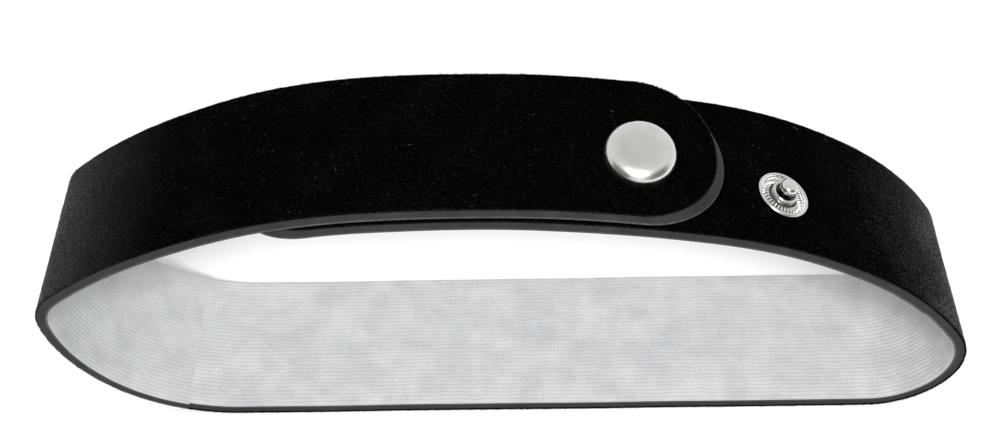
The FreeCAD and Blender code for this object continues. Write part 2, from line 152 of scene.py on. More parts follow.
def leaf_rise():
    """The arc that lifts the upper band off the loop: radius, centre, start and end headings."""
    hinge, heading = (item[0] for item in locate(LOOP, HINGE_AT))
    crown_radius, crown_heading, _, crown_start, _ = LOOP[2]
    crown_centre = crown_start - outward(crown_heading) * crown_radius
    inward = -outward(heading)
    reach = hinge - crown_centre
    outer = crown_radius + LEAF_RISE
    radius = (outer**2 - reach @ reach) / (2 * (reach @ inward + outer))
    centre = hinge + inward * radius
    away = centre - crown_centre
    return radius, centre, heading, math.degrees(math.atan2(away[1], away[0])) - 90.0


RISE_RADIUS, RISE_CENTRE, RISE_START, RISE_END = leaf_rise()


def upper_track():
    """Outer face of the upper band, from the seam at the lower left over the fold to the tip."""
    corner = LOOP[-1][3] + np.array([0.0, LEFT_HEIGHT])
    seam = corner + outward(SEAM_HEADING) * LEFT_HEIGHT
    bends = [
        (LEFT_HEIGHT, 90.0),
        BENDS[0],
        (BENDS[1][0], RISE_START),
        (RISE_RADIUS, RISE_END),
        (BENDS[2][0] + LEAF_RISE, BENDS[2][1]),
        (BENDS[3][0] + LEAF_RISE, locate(LOOP, LEAF_TIP_AT)[1][0]),
    ]
    return arcs_from(seam, SEAM_HEADING, bends)[0]


def lower_track():
    """Outer face of the lower band from the underlap's tip.

    Its free end bends down along with the upper band's rise, at the same gap below it.
    """
    radius = RISE_RADIUS - LEAF_RISE
    crown_radius, crown_heading, crown_end, _, _ = LOOP[2]
    parallel = LOOP[0][4] + LOOP[1][4] + crown_radius * math.radians(crown_heading - RISE_END)
    tip_heading = RISE_END + math.degrees((parallel - UNDERLAP_TIP_AT) / radius)
    tip = RISE_CENTRE + outward(tip_heading) * radius
    arcs, _ = arcs_from(tip, tip_heading, [(radius, RISE_END), (crown_radius, crown_end)])
    return arcs + LOOP[3:]


LEAF = upper_track()
LEAF_LENGTH = sum(arc[4] for arc in LEAF)
LEAF_HINGE = sum(arc[4] for arc in LEAF[:3])
LOWER = lower_track()
SEAM_AT = PERIMETER - LEFT_HEIGHT * math.radians(SEAM_HEADING - 90.0) - UNDERLAP_TIP_AT
BUTT_ON_LOWER = BUTT_AT - UNDERLAP_TIP_AT


def stud_frame(distance, side):
    """Matrix of a stud's frame, Z square to the loop's outer face, in millimetres."""
    point, heading = locate(LOOP, distance)
    place = Matrix.Translation(Vector((point[0][0], side, point[0][1])))
    return place @ Matrix.Rotation(math.radians(-heading[0]), 4, "Y")


CLOSURE = stud_frame(CLOSURE_AT, CLOSURE_SIDE)
FREE_STUD = stud_frame(FREE_STUD_AT, FREE_STUD_SIDE)

# ---------------------------------------------------------------- materials


class Nodes:
    """Short form for building one node material."""

    def __init__(self, name):
        self.material = bpy.data.materials.new(name)
        self.material.use_nodes = True
        self.tree = self.material.node_tree
        self.shader = self.tree.nodes["Principled BSDF"]

    def add(self, kind, **settings):
        node = self.tree.nodes.new("ShaderNode" + kind)
        for key, value in settings.items():
            if hasattr(node, key):
                setattr(node, key, value)
            else:
                node.inputs[key.replace("_", " ")].default_value = value
        return node

    def link(self, source, target):
        self.tree.links.new(source, target)

    def lay(self):
        """Millimetres along, across and up through the laminate."""
        return self.add("Attribute", attribute_name="lay").outputs["Vector"]

    def place(self):
        """Object coordinates in millimetres."""
        scaled = self.add("VectorMath", operation="SCALE")
        scaled.inputs["Scale"].default_value = 1 / MM
        self.link(self.add("TexCoord").outputs["Object"], scaled.inputs[0])
        return scaled.outputs[0]

    def noise(self, vector, scale, detail=3.0, roughness=0.55):
        node = self.add("TexNoise", Scale=scale, Detail=detail, Roughness=roughness)
        self.link(vector, node.inputs["Vector"])
        return node.outputs["Fac"]

    def ramp(self, fac, *stops):
        """Colour ramp from (place, grey or colour) stops."""
        node = self.add("ValToRGB")
        elements = node.color_ramp.elements
        while len(elements) < len(stops):
            elements.new(0.5)
        for element, (place, value) in zip(elements, stops):
            element.position = place
            rgb = (value,) * 3 if isinstance(value, (int, float)) else value
            element.color = (*rgb, 1.0)
        self.link(fac, node.inputs["Fac"])
        return node.outputs["Color"]

    def maths(self, operation, a, b=None, c=None):
        node = self.add("Math", operation=operation)
        for socket, value in zip(node.inputs, (a, b, c)):
            if value is None:
                continue
            if isinstance(value, (int, float)):
                socket.default_value = value
            else:
                self.link(value, socket)
        return node.outputs[0]

    def blend_colour(self, fac, a, b, mode="MIX"):
        node = self.add("Mix", data_type="RGBA", blend_type=mode)
        sockets = [node.inputs[0], node.inputs[6], node.inputs[7]]
        for socket, value in zip(sockets, (fac, a, b)):
            if isinstance(value, (int, float)):
                socket.default_value = value
            elif isinstance(value, tuple):
                socket.default_value = (*value, 1.0)
            else:
                self.link(value, socket)
        return node.outputs[2]

    def bump(self, height, depth, strength=1.0, under=None):
        """Bump of a depth in millimetres."""
        node = self.add("Bump", Distance=depth * MM, Strength=strength)
        self.link(height, node.inputs["Height"])
        if under is not None:
            self.link(under, node.inputs["Normal"])
        return node.outputs["Normal"]

    def finish(self, colour, rough=None, normal=None, **constants):
        for key, value in constants.items():
            self.shader.inputs[key.replace("_", " ")].default_value = value
        if isinstance(colour, tuple):
            self.shader.inputs["Base Color"].default_value = (*colour, 1.0)
        else:
            self.link(colour, self.shader.inputs["Base Color"])
        if rough is not None:
            self.link(rough, self.shader.inputs["Roughness"])
        if normal is not None:
            self.link(normal, self.shader.inputs["Normal"])
        return self.material


# distance along the leaf where the band bends at the left and the pile is painted a lighter grey,
# partly rubbed pile and partly painted sheen, and how far
RUB_SHEEN_AT, RUB_SHEEN_REACH = 30.0, 22.0


def velvet_material():
    """Black flocked pile: nearly no light back face on, a grey bloom at a glance, and at a bend
    painted a lighter grey, partly rubbed pile and partly painted sheen.
    """
    n = Nodes("velvet_black")
    lay = n.lay()
    grain = n.noise(lay, 2.4, detail=4.0, roughness=0.7)
    patches = n.noise(lay, 0.16, detail=3.0)
    shade = n.maths("MULTIPLY_ADD", patches, 0.25, n.maths("MULTIPLY", grain, 0.9))
    colour = n.ramp(shade, (0.4, 0.0002), (0.6, 0.001), (0.78, 0.005))
    specks = n.noise(lay, 1.15, detail=6.0, roughness=0.8)
    colour = n.blend_colour(n.ramp(specks, (0.66, 0.0), (0.78, 0.5)), colour, (0.02, 0.02, 0.021))
    parts = n.add("SeparateXYZ")
    n.link(lay, parts.inputs[0])
    rub_sheen = n.add("MapRange")
    rub_sheen.inputs["From Min"].default_value = RUB_SHEEN_REACH
    rub_sheen.inputs["From Max"].default_value = 0.0
    away = n.maths("ABSOLUTE", n.maths("SUBTRACT", parts.outputs["X"], RUB_SHEEN_AT))
    n.link(away, rub_sheen.inputs["Value"])
    tuft = n.noise(lay, 5.5, detail=2.0)
    coarse = n.ramp(shade, (0.42, 0.4), (0.62, 1.0))
    fine = n.ramp(tuft, (0.38, 0.2), (0.6, 1.0))
    flecks = n.maths("MULTIPLY", coarse, fine)
    # the band's left bend is painted a lighter, flecked grey: partly rubbed pile, partly painted sheen
    # standing in for the bloom at a glance
    rubbed_sheen = n.maths("MULTIPLY", n.maths("POWER", rub_sheen.outputs[0], 2.4), flecks)
    colour = n.blend_colour(rubbed_sheen, colour, (0.06, 0.06, 0.061))
    normal = n.bump(tuft, 0.05, 0.8, n.bump(grain, 0.14, 0.8))
    bloom = n.ramp(shade, (0.4, 0.04), (0.57, 0.17), (0.72, 0.48))
    n.link(bloom, n.shader.inputs["Sheen Weight"])
    return n.finish(
        colour,
        normal=normal,
        Roughness=0.95,
        Specular_IOR_Level=0.0,
        Sheen_Roughness=0.15,
        Sheen_Tint=(0.86, 0.86, 0.88, 1.0),
    )


def fibre_material(name, low, high, sheen):
    """Loose fibres, from one grey to another."""
    n = Nodes(name)
    colour = n.ramp(n.noise(n.place(), 0.9), (0.35, low), (0.7, high))
    return n.finish(colour, Roughness=0.9, Specular_IOR_Level=0.0, Sheen_Weight=sheen)


def foam_material():
    """Knife-cut closed-cell foam: fine dark cells and faint knife drag along the edge."""
    n = Nodes("foam_cut")
    lay = n.lay()
    cells = n.add("TexVoronoi", Scale=6.5, feature="F1")
    n.link(lay, cells.inputs["Vector"])
    pits = n.maths("SMOOTH_MIN", cells.outputs["Distance"], 0.5, 0.2)
    drag = n.add("Mapping")
    drag.inputs["Scale"].default_value = (0.35, 5.0, 5.0)
    n.link(lay, drag.inputs["Vector"])
    streak = n.noise(drag.outputs[0], 1.3, detail=4.0)
    patches = n.noise(lay, 0.3)
    mixed = n.maths("MULTIPLY_ADD", streak, 0.5, n.maths("MULTIPLY", patches, 0.5))
    base = n.ramp(mixed, (0.35, 0.013), (0.55, 0.024), (0.7, 0.038))
    colour = n.blend_colour(0.5, base, n.ramp(pits, (0.05, 0.35), (0.4, 1.0)), "MULTIPLY")
    normal = n.bump(pits, 0.09, 0.7, n.bump(streak, 0.08, 0.6))
    return n.finish(
        colour, normal=normal, Roughness=0.9, Specular_IOR_Level=0.2, Sheen_Weight=0.03
    )


def lining_material():
    """Pale conductive jersey: columns of knitted loops, and a darker cut edge."""
    n = Nodes("lining_knit")
    lay = n.lay()
    parts = n.add("SeparateXYZ")
    n.link(lay, parts.inputs[0])
    wobble = n.maths("MULTIPLY_ADD", n.noise(lay, 0.5), 0.5, parts.outputs["Y"])
    wale, course = 0.55, 0.42
    across = n.maths("MULTIPLY", wobble, math.tau / wale)
    column = n.maths("ABSOLUTE", n.maths("SINE", n.maths("MULTIPLY", across, 0.5)))
    chevron = n.maths("MULTIPLY", column, 0.55)
    along = n.maths("MULTIPLY_ADD", parts.outputs["X"], 1 / course, chevron)
    loops = n.maths("ABSOLUTE", n.maths("SINE", n.maths("MULTIPLY", along, math.pi)))
    yarn = n.maths("MULTIPLY", n.maths("POWER", column, 0.5), n.maths("POWER", loops, 0.4))
    wear = n.noise(lay, 0.3, detail=4.0)
    fuzz = n.noise(lay, 7.0, detail=3.0)
    base = n.ramp(wear, (0.3, (0.50, 0.50, 0.51)), (0.7, (0.62, 0.62, 0.625)))
    shade = n.ramp(yarn, (0.05, 0.72), (0.5, 0.96), (0.95, 1.0))
    colour = n.blend_colour(1.0, base, shade, "MULTIPLY")
    colour = n.blend_colour(0.35, colour, n.ramp(fuzz, (0.3, 0.6), (0.7, 1.0)), "MULTIPLY")
    cut = n.ramp(n.noise(lay, 1.8, detail=4.0), (0.35, 0.03), (0.65, 0.07))
    edge = n.add("MapRange")
    edge.inputs["From Min"].default_value = LINING_LOW + 0.02
    edge.inputs["From Max"].default_value = LINING_LOW + 0.06
    n.link(parts.outputs["Z"], edge.inputs["Value"])
    colour = n.blend_colour(edge.outputs[0], colour, cut)
    normal = n.bump(yarn, 0.09, 0.7, n.bump(fuzz, 0.04, 0.5))
    return n.finish(
        colour, normal=normal, Roughness=0.75, Specular_IOR_Level=0.25, Sheen_Weight=0.08
    )


def metal_material(name, tone, rough, spread, scratch, recess=False):
    """Plated metal with fine polishing marks, handling haze and, in a recess, painted shade."""
    n = Nodes(name)
    place = n.place()
    haze = n.noise(place, 0.55, detail=4.0)
    marks = n.add("Mapping")
    marks.inputs["Scale"].default_value = (1.0, 14.0, 3.0)
    marks.inputs["Rotation"].default_value = (0.3, 0.2, 0.9)
    n.link(place, marks.inputs["Vector"])
    lines = n.noise(marks.outputs[0], 2.2, detail=6.0, roughness=0.7)
    grit = n.noise(place, 16.0, detail=2.0)
    dull = tuple(0.93 * c for c in tone)
    colour = n.ramp(haze, (0.3, dull), (0.65, tone))
    if recess:
        parts = n.add("SeparateXYZ")
        n.link(n.lay(), parts.inputs[0])
        # painted shade: the lay's third value, set by the part's shade function, darkens the recesses,
        # mottled by the grit
        patchy = n.maths("MULTIPLY_ADD", grit, 0.3, n.maths("SUBTRACT", parts.outputs["Z"], 0.15))
        painted_shade = n.ramp(patchy, (0.1, 0.0), (0.85, 0.97))
        colour = n.blend_colour(painted_shade, colour, (0.035, 0.034, 0.033))
    both = n.maths("MULTIPLY_ADD", lines, 0.5, n.maths("MULTIPLY", haze, 0.5))
    roughness = n.add("MapRange")
    roughness.inputs["From Min"].default_value = 0.3
    roughness.inputs["From Max"].default_value = 0.7
    roughness.inputs["To Min"].default_value = rough - spread
    roughness.inputs["To Max"].default_value = rough + spread
    n.link(both, roughness.inputs["Value"])
    normal = n.bump(lines, 0.0012 * scratch, 0.5, n.bump(grit, 0.0004 * scratch, 0.5))
    return n.finish(colour, roughness.outputs[0], normal, Metallic=1.0)


VELVET = velvet_material()
PILE = fibre_material("pile_fibre", 0.0008, 0.011, 0.06)
LINT = fibre_material("lint_fibre", 0.02, 0.12, 0.05)
FOAM = foam_material()
LINING = lining_material()
NICKEL = metal_material("nickel_satin", (0.80, 0.795, 0.785), 0.24, 0.05, 1.0)
BRIGHT = metal_material("nickel_bright", (0.82, 0.815, 0.805), 0.14, 0.05, 1.0)
STUD = metal_material("nickel_stud", (0.80, 0.795, 0.785), 0.16, 0.04, 1.0, recess=True)
STEEL = metal_material("stainless_brushed", (0.62, 0.62, 0.615), 0.32, 0.06, 4.0)
BRONZE = metal_material("phosphor_bronze", (0.72, 0.53, 0.33), 0.25, 0.05, 1.0)

# ---------------------------------------------------------------- meshes


def make_piece(name, points, faces, material, lay=None, sharp=35.0):
    """Mesh object from points in millimetres, welded, with smooth shading up to an angle."""
    mesh = bpy.data.meshes.new(name)
    mesh.from_pydata((np.asarray(points) * MM).tolist(), [], faces)
    if lay is not None:
        attribute = mesh.attributes.new("lay", "FLOAT_VECTOR", "POINT")
        attribute.data.foreach_set("vector", np.asarray(lay, np.float32).ravel())
    mesh.materials.append(material)
    weld(mesh)
    mesh.shade_smooth()
    mesh.set_sharp_from_angle(angle=math.radians(sharp))
    piece = bpy.data.objects.new(name, mesh)
    bpy.context.scene.collection.objects.link(piece)
    return piece


def weld(mesh):
    """Merge points that coincide and drop the faces that this leaves without area."""
    shell = bmesh.new()
    shell.from_mesh(mesh)
    bmesh.ops.remove_doubles(shell, verts=shell.verts, dist=0.002 * MM)
    bmesh.ops.dissolve_degenerate(shell, edges=shell.edges, dist=0.0005 * MM)
    bmesh.ops.recalc_face_normals(shell, faces=shell.faces)
    shell.to_mesh(mesh)
    shell.free()


def drape_wave(along, across):
    """Slow unevenness that all layers of the band share, in millimetres."""
    slow = np.sin(along * 0.21 + 0.9) * 0.035 + np.sin(along * 0.093 + across * 0.13) * 0.04
    return slow + np.sin(along * 0.37 + across * 0.31 + 2.0) * 0.018


def nap(along, across, seed):
    """Unevenness of the pile, about -1 to 1, with no direction of its own."""
    values = [
        noise.fractal(Vector((x * 0.85, y * 0.85, seed)), 0.9, 2.1, 3)
        for x, y in zip(along.ravel(), across.ravel())
    ]
    return np.array(values).reshape(along.shape)


def stations(start, end, step, round_start, round_end, radius, density):
    """Rows of a strip as (distance, half width share, outline normal along, across)."""
    rows = []
    first = start + (radius if round_start else 0)
    last = end - (radius if round_end else 0)
    angles = np.linspace(0, math.pi / 2, density)
    if round_start:
        rows += [(first, t, -math.cos(t)) for t in angles[:-1]]
    count = max(2, int(round((last - first) / step)) + 1)
    rows += [(d, math.pi / 2, 0.0) for d in np.linspace(first, last, count)]
    if round_end:
        rows += [(last, t, math.cos(t)) for t in angles[-2::-1]]
    return np.array(rows)


# points on each rounded edge that the nap's unevenness still moves
NAP_EDGE = 3


def tip_cut(towards_tip, upward):
    """Share of the slant cut round a tip: full at its end, none where it turns to the upper side."""
    return np.abs(towards_tip) * (1 - np.clip(upward, 0, 1) ** 1.5)


def strip(name, track, start, end, border, columns, step, material, **options):
    """One layer of the band as a closed shell.

    border lists the layer's edge, from the top face round to the bottom face, as (inset from the
    outline, height over the track's outer face, further inset at the very tip).  Between the two
    edges the top and bottom faces are spanned by columns.  options: half (half width),
    round_start, round_end, shift (distance added for the grain), pile (height of the nap's
    unevenness), seed and press (dip under a stud).
    """
    half, shift = options.get("half", TIP_RADIUS), options.get("shift", 0.0)
    rounds = options.get("round_start", False), options.get("round_end", False)
    rows = stations(start, end, step, *rounds, half, options.get("density", 44))
    centre, theta, reach = (column[:, None] for column in rows.T)
    side = np.where(reach == 0, 1.0, np.sin(theta))
    spread = np.linspace(-1, 1, columns + 2)[1:-1]
    ring = [(*corner, -1) for corner in border[::-1]]
    ring += [(*border[0], share) for share in spread]
    ring += [(*corner, 1) for corner in border]
    ring += [(*border[-1], share) for share in spread[::-1]]
    inset, level, bevel, sign = np.array(ring).T
    out = half - inset - bevel * tip_cut(reach, sign * side)
    along = centre + reach * out
    across = sign * side * out
    height = np.broadcast_to(level, out.shape)
    top = np.zeros(len(ring), bool)
    top[len(border) - NAP_EDGE : len(border) + columns + NAP_EDGE] = True
    if "pile" in options:
        height = height + np.where(top, nap(along, across, options["seed"]) * options["pile"], 0)
    if "press" in options:
        height = height + np.where(top, options["press"](along, across), 0)
    level = height.ravel()
    height = height + drape_wave(along + shift, across)
    points, headings = locate(track, along.ravel())
    normals = outward(headings)
    flat = points + normals * height.reshape(-1, 1)
    xyz = np.stack([flat[:, 0], across.ravel(), flat[:, 1]], axis=1)
    grain = np.stack([along.ravel() + shift, across.ravel(), level], axis=1)
    index = np.arange(height.size).reshape(height.shape)
    after = np.roll(index, -1, axis=1)
    quads = np.stack([index[:-1], after[:-1], after[1:], index[1:]], axis=-1).reshape(-1, 4)
    faces = quads.tolist()
    if not rounds[0]:
        faces.append(index[0].tolist())
    if not rounds[1]:
        faces.append(index[-1][::-1].tolist())
    return make_piece(name, xyz, faces, material, lay=grain)


CORNER_POINTS = 6


def rounded_edge(top, bottom, radius_top, radius_bottom, inset=0.0, bulge=0.0, bevel=(0, 0)):
    """A layer's edge from its top face to its bottom face, with rounded corners.

    bevel gives how much further in the top and the bottom of the edge lie at the very tip.
    """
    turns = np.linspace(0, math.pi / 2, CORNER_POINTS)
    points = [
        (inset + radius_top * (1 - math.sin(a)), top - radius_top * (1 - math.cos(a)))
        for a in turns
    ]
    points.append((inset - bulge, (top - radius_top + bottom + radius_bottom) / 2))
    points += [
        (inset + radius_bottom * (1 - math.cos(a)), bottom + radius_bottom * (1 - math.sin(a)))
        for a in turns
    ]
    levels = [(top - level) / (top - bottom) for _, level in points]
    return [
        (inset, level, bevel[0] + (bevel[1] - bevel[0]) * down)
        for (inset, level), down in zip(points, levels)
    ]


def stud_dimple(distance, side, reach, depth):
    """Dip of the velvet where a stud or the cap presses it."""

    def press(along, across):
        away = np.hypot(along - distance, across - side)
        return -depth / (1 + np.exp((away - reach) * 6.0))

    return press


# distance along the leaf that stands for a distance along the loop, at the closure
CLOSURE_ON_LEAF = LEAF_LENGTH - (LEAF_TIP_AT - CLOSURE_AT) * (1 + LEAF_RISE / BENDS[2][0])

FREE_ON_LOWER = FREE_STUD_AT - UNDERLAP_TIP_AT
# added to distances on the lower band, so that its grain differs from the upper one's
LOWER_SHIFT = 300.0
# columns across a face and millimetres between rows: fine for pile, coarse for the other layers
FINE, COARSE = (44, 0.42), (16, 0.8)
# the rounded tips are cut on a slant, so that the foam stands out past the velvet there
VELVET_INSET, VELVET_BEVEL, FOAM_BEVEL, TOE = 0.1, 1.05, 0.95, 0.12
velvet_edge = rounded_edge(
    0.0, FOAM_TOP, 0.17, 0.02, inset=VELVET_INSET, bevel=(VELVET_BEVEL, FOAM_BEVEL)
)
foam_edge = rounded_edge(
    FOAM_TOP, LINING_TOP, 0.02, 0.01, inset=0.01, bulge=0.04, bevel=(FOAM_BEVEL, -TOE)
)
lining_edge = rounded_edge(
    LINING_TOP, LINING_LOW, 0.01, 0.1, inset=0.0, bulge=0.02, bevel=(-TOE, -0.2)
)
cap_dip = stud_dimple(CLOSURE_ON_LEAF, CLOSURE_SIDE, 4.1, 0.08)
stud_dip = stud_dimple(FREE_ON_LOWER, FREE_STUD_SIDE, 3.3, 0.06)

velvet_upper = strip(
    "velvet_upper", LEAF, 0.0, LEAF_LENGTH, velvet_edge, *FINE, VELVET,
    round_end=True, density=40, pile=0.02, seed=3, press=cap_dip,
)
velvet_lower = strip(
    "velvet_lower", LOWER, 0.0, SEAM_AT, velvet_edge, *FINE, VELVET,
    round_start=True, density=40, pile=0.02, seed=8, shift=LOWER_SHIFT, press=stud_dip,
)
foam_upper = strip(
    "foam_upper", LEAF, 0.0, LEAF_LENGTH, foam_edge, *COARSE, FOAM, round_end=True
)
foam_underlap = strip(
    "foam_underlap", LOWER, 0.0, BUTT_ON_LOWER, foam_edge, *COARSE, FOAM,
    round_start=True, shift=LOWER_SHIFT,
)
BACK_HALF = TIP_RADIUS - BACKING_SETBACK
foam_back = strip(
    "foam_back", LOWER, BUTT_ON_LOWER + BUTT_GAP, SEAM_AT, foam_edge, *COARSE, FOAM,
    half=BACK_HALF, shift=LOWER_SHIFT,
)
lining_upper = strip(
    "lining_upper", LEAF, 0.0, LEAF_LENGTH, lining_edge, *COARSE, LINING, round_end=True
)
lining_underlap = strip(
    "lining_underlap", LOWER, 0.0, BUTT_ON_LOWER, lining_edge, *COARSE, LINING,
    round_start=True, shift=LOWER_SHIFT,
)
lining_back = strip(
    "lining_back", LOWER, BUTT_ON_LOWER + BUTT_GAP, SEAM_AT, lining_edge, *COARSE, LINING,
    half=BACK_HALF, shift=LOWER_SHIFT,
)

def pierce(piece, radius, low, high):
    """Cut the socket's round hole, square to the closure's frame, into a layer of the leaf.

    The points of the new rim are given their place in the lay of the layer.
    """
    cutter_mesh = bpy.data.meshes.new("hole")
    drill = bmesh.new()
    place = Matrix.Scale(MM, 4) @ CLOSURE @ Matrix.Translation((0, 0, (low + high) / 2))
    bmesh.ops.create_cone(
        drill, cap_ends=True, segments=96, radius1=radius, radius2=radius, depth=high - low,
        matrix=place,
    )
    drill.to_mesh(cutter_mesh)
    drill.free()
    cutter = bpy.data.objects.new("hole", cutter_mesh)
    bpy.context.scene.collection.objects.link(cutter)
    cut = piece.modifiers.new("hole", "BOOLEAN")
    cut.operation, cut.solver, cut.object = "DIFFERENCE", "EXACT", cutter
    graph = bpy.context.evaluated_depsgraph_get()
    mesh = bpy.data.meshes.new_from_object(piece.evaluated_get(graph))
    piece.modifiers.clear()
    piece.data = mesh
    bpy.data.objects.remove(cutter)
    weld(mesh)
    to_frame = (Matrix.Scale(MM, 4) @ CLOSURE).inverted()
    near = 0.02
    for vertex, mark in zip(mesh.vertices, mesh.attributes["lay"].data):
        x, y, z = to_frame @ vertex.co
        if abs(math.hypot(x, y) - radius) < near:
            sag = x * x / 2 / (BENDS[2][0] + LEAF_RISE)
            mark.vector = (CLOSURE_ON_LEAF + x, CLOSURE_SIDE + y, z - LEAF_RISE + sag)
    mesh.set_sharp_from_angle(angle=math.radians(35.0))


# heights in the closure's frame: under the leaf, in its foam, and over the socket
HOLE_LOW, HOLE_IN_FOAM, HOLE_HIGH = 0.3, 1.4, SOCKET_TOP + 0.05
pierce(foam_upper, SOCKET_HOLE, HOLE_LOW, HOLE_HIGH)
pierce(lining_upper, SOCKET_HOLE, HOLE_LOW, HOLE_IN_FOAM)

# ---------------------------------------------------------------- pile and lint


def on_band(track, along, across, shift):
    """Points on a band's outer face, and the unit vectors out of it and along it."""
    points, headings = locate(track, along)
    normals = outward(headings)
    height = drape_wave(along + shift, across)
    points = points + normals * height[:, None]
    xyz = np.stack([points[:, 0], across, points[:, 1]], axis=1)
    out = np.stack([normals[:, 0], 0 * across, normals[:, 1]], axis=1)
    forth = np.stack([normals[:, 1], 0 * across, -normals[:, 0]], axis=1)
    return xyz, out, forth


def velvet_reach(towards_tip, upward):
    """How far the velvet's face reaches from a tip's centre, by the parts of its direction."""
    return TIP_RADIUS - VELVET_INSET - VELVET_BEVEL * tip_cut(towards_tip, upward)


def spikes(name, roots, ways, lengths, widths, material, body):
    """Tapering closed hairs, each a three-sided spike from its root along its way."""
    count = len(roots)
    ways = ways / np.linalg.norm(ways, axis=1)[:, None]
    side = np.cross(ways, [0.31, 0.87, 0.42])
    side /= np.linalg.norm(side, axis=1)[:, None]
    third = np.cross(ways, side)
    corners = []
    for k in range(3):
        a = math.tau * k / 3
        corners.append(roots + (side * math.cos(a) + third * math.sin(a)) * widths[:, None] / 2)
    tips = roots + ways * lengths[:, None]
    points = np.stack(corners + [tips], axis=1).reshape(-1, 3)
    base = np.arange(count)[:, None] * 4
    pattern = np.array([[0, 1, 3], [1, 2, 3], [2, 0, 3], [2, 1, 0]])
    faces = (base[:, None] + pattern[None]).reshape(-1, 3)
    mesh = bpy.data.meshes.new(name)
    mesh.from_pydata((points * MM).tolist(), [], faces.tolist())
    mesh.materials.append(material)
    piece = bpy.data.objects.new(name, mesh)
    bpy.context.scene.collection.objects.link(piece)
    if body is not None:
        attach(piece, body)
    return piece


def pile_hairs(name, track, length, shift, seed, round_low, count, fringe, body):
    """Hairs of the pile all over a band's face, and a fringe of longer ones round its edge."""
    source = np.random.default_rng(seed)
    along = source.uniform(0, length, count)
    across = source.uniform(-TIP_RADIUS, TIP_RADIUS, count)
    edge_along = source.uniform(0, length, fringe)
    from_edge = VELVET_INSET + np.abs(source.normal(0, 0.09, fringe))
    edge_across = source.choice([-1.0, 1.0], fringe) * (TIP_RADIUS - from_edge)
    along, across = np.r_[along, edge_along], np.r_[across, edge_across]
    from_tip = (TIP_RADIUS - along) if round_low else (along - (length - TIP_RADIUS))
    from_tip = np.maximum(from_tip, 0)
    reach = np.hypot(from_tip, across)
    unit = np.maximum(reach, 1.0)
    inside = reach < velvet_reach(from_tip / unit, across / unit) - 0.02
    along, across = along[inside], across[inside]
    near = np.clip((np.abs(across) - TIP_RADIUS + 0.35) / 0.35, 0, 1) * np.sign(across)
    xyz, out, forth = on_band(track, along, across, shift)
    total = len(along)
    lean = source.normal(0, 0.55, (total, 2))
    ways = out + forth * lean[:, :1] + np.outer(lean[:, 1] + near * 1.3, [0, 1, 0])
    lengths = source.uniform(0.1, 0.26, total)
    roots = xyz - out * (0.06 + 0.1 * np.abs(near))[:, None]
    widths = source.uniform(0.05, 0.1, total)
    return spikes(name, roots, ways, lengths, widths, PILE, body)


def tip_fringe(name, track, centre, sense, shift, seed, count, body):
    """Fringe of pile round a band's rounded tip."""
    source = np.random.default_rng(seed)
    turn = source.uniform(-math.pi / 2, math.pi / 2, count)
    reach = velvet_reach(np.cos(turn), np.sin(turn)) - np.abs(source.normal(0.02, 0.08, count))
    along = centre + sense * np.cos(turn) * reach
    across = np.sin(turn) * reach
    xyz, out, forth = on_band(track, along, across, shift)
    lean = source.normal(0, 0.4, (count, 2))
    ways = out + forth * (lean[:, 0] + sense * np.cos(turn) * 1.3)[:, None]
    ways = ways + np.outer(lean[:, 1] + np.sin(turn) * 1.3, [0, 1, 0])
    lengths = source.uniform(0.12, 0.3, count)
    widths = source.uniform(0.05, 0.1, count)
    return spikes(name, xyz - out * 0.14, ways, lengths, widths, PILE, body)


def lint(name, track, start, end, shift, seed, count, body):
    """Pale specks and short curled threads of lint that cling to the pile."""
    source = np.random.default_rng(seed)
    along = source.uniform(start, end, count)
    across = source.uniform(-TIP_RADIUS + 0.4, TIP_RADIUS - 0.4, count)
    xyz, out, forth = on_band(track, along, across, shift)
    turn = source.uniform(0, math.tau, count)
    flat = forth * np.cos(turn)[:, None] + np.outer(np.sin(turn), [0, 1, 0])
    ways = flat + out * source.normal(0.1, 0.2, count)[:, None]
    lengths = np.exp(source.normal(-1.7, 0.6, count))
    widths = source.uniform(0.03, 0.08, count)
    return spikes(name, xyz + out * 0.09, ways, lengths, widths, LINT, body)


pile_upper = pile_hairs(
    "pile_upper", LEAF, LEAF_LENGTH, 0.0,
    seed=21, round_low=False, count=24000, fringe=7000, body=None,
)
pile_lower = pile_hairs(
    "pile_lower", LOWER, SEAM_AT, LOWER_SHIFT,
    seed=22, round_low=True, count=24000, fringe=9000, body="band",
)
tip_upper = tip_fringe(
    "tip_upper", LEAF, LEAF_LENGTH - TIP_RADIUS, 1, 0.0, seed=23, count=1500, body="flap"
)
tip_lower = tip_fringe(
    "tip_lower", LOWER, TIP_RADIUS, -1, LOWER_SHIFT, seed=24, count=1500, body="band"
)
lint_upper = lint(
    "lint_upper", LEAF, LEAF_HINGE + 8.5, LEAF_LENGTH - 9.0, 0.0, seed=25, count=170, body="flap"
)
lint_lower = lint("lint_lower", LOWER, 50.0, 100.0, LOWER_SHIFT, seed=26, count=90, body="band")

# ---------------------------------------------------------------- metal parts


def bend(centre, radius, start, end, count):
    """Points of an arc in a turned section, from one angle to another in degrees."""
    angles = np.radians(np.linspace(start, end, count))
    return [(centre[0] + radius * math.cos(a), centre[1] + radius * math.sin(a)) for a in angles]


